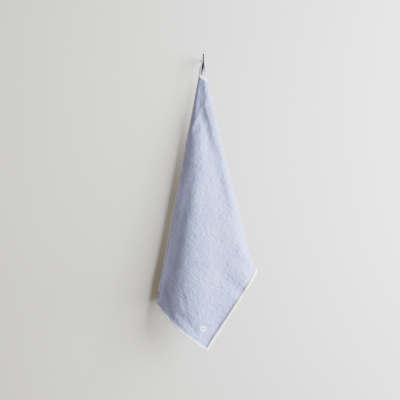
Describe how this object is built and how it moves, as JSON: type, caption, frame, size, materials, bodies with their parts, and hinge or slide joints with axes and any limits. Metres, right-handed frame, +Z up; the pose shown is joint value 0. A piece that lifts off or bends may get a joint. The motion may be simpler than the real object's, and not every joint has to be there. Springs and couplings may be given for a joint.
{
  "type": "linen tea towel on a wall hook",
  "caption": "Pale blue linen tea towel with a white overlocked edge, hung in soft folds by a corner tape loop from a small black iron wall hook; dries dishes and hands.",
  "frame": {"origin": "the middle of the hook's flat back face, on the wall plane", "axes": "+Z up, +X to the right as seen from the front, the front faces -Y and the wall is at +Y"},
  "size_m": [0.306, 0.1912, 0.9079],
  "materials": {
    "linen": "plain woven linen, matt",
    "tape": "woven cotton tape, matt",
    "iron": "blackened, satin"
  },
  "bodies": {
    "root": {"towel_cloth": "linen", "hanging_loop": "tape", "wall_hook": "iron"}
  },
  "joints": []
}
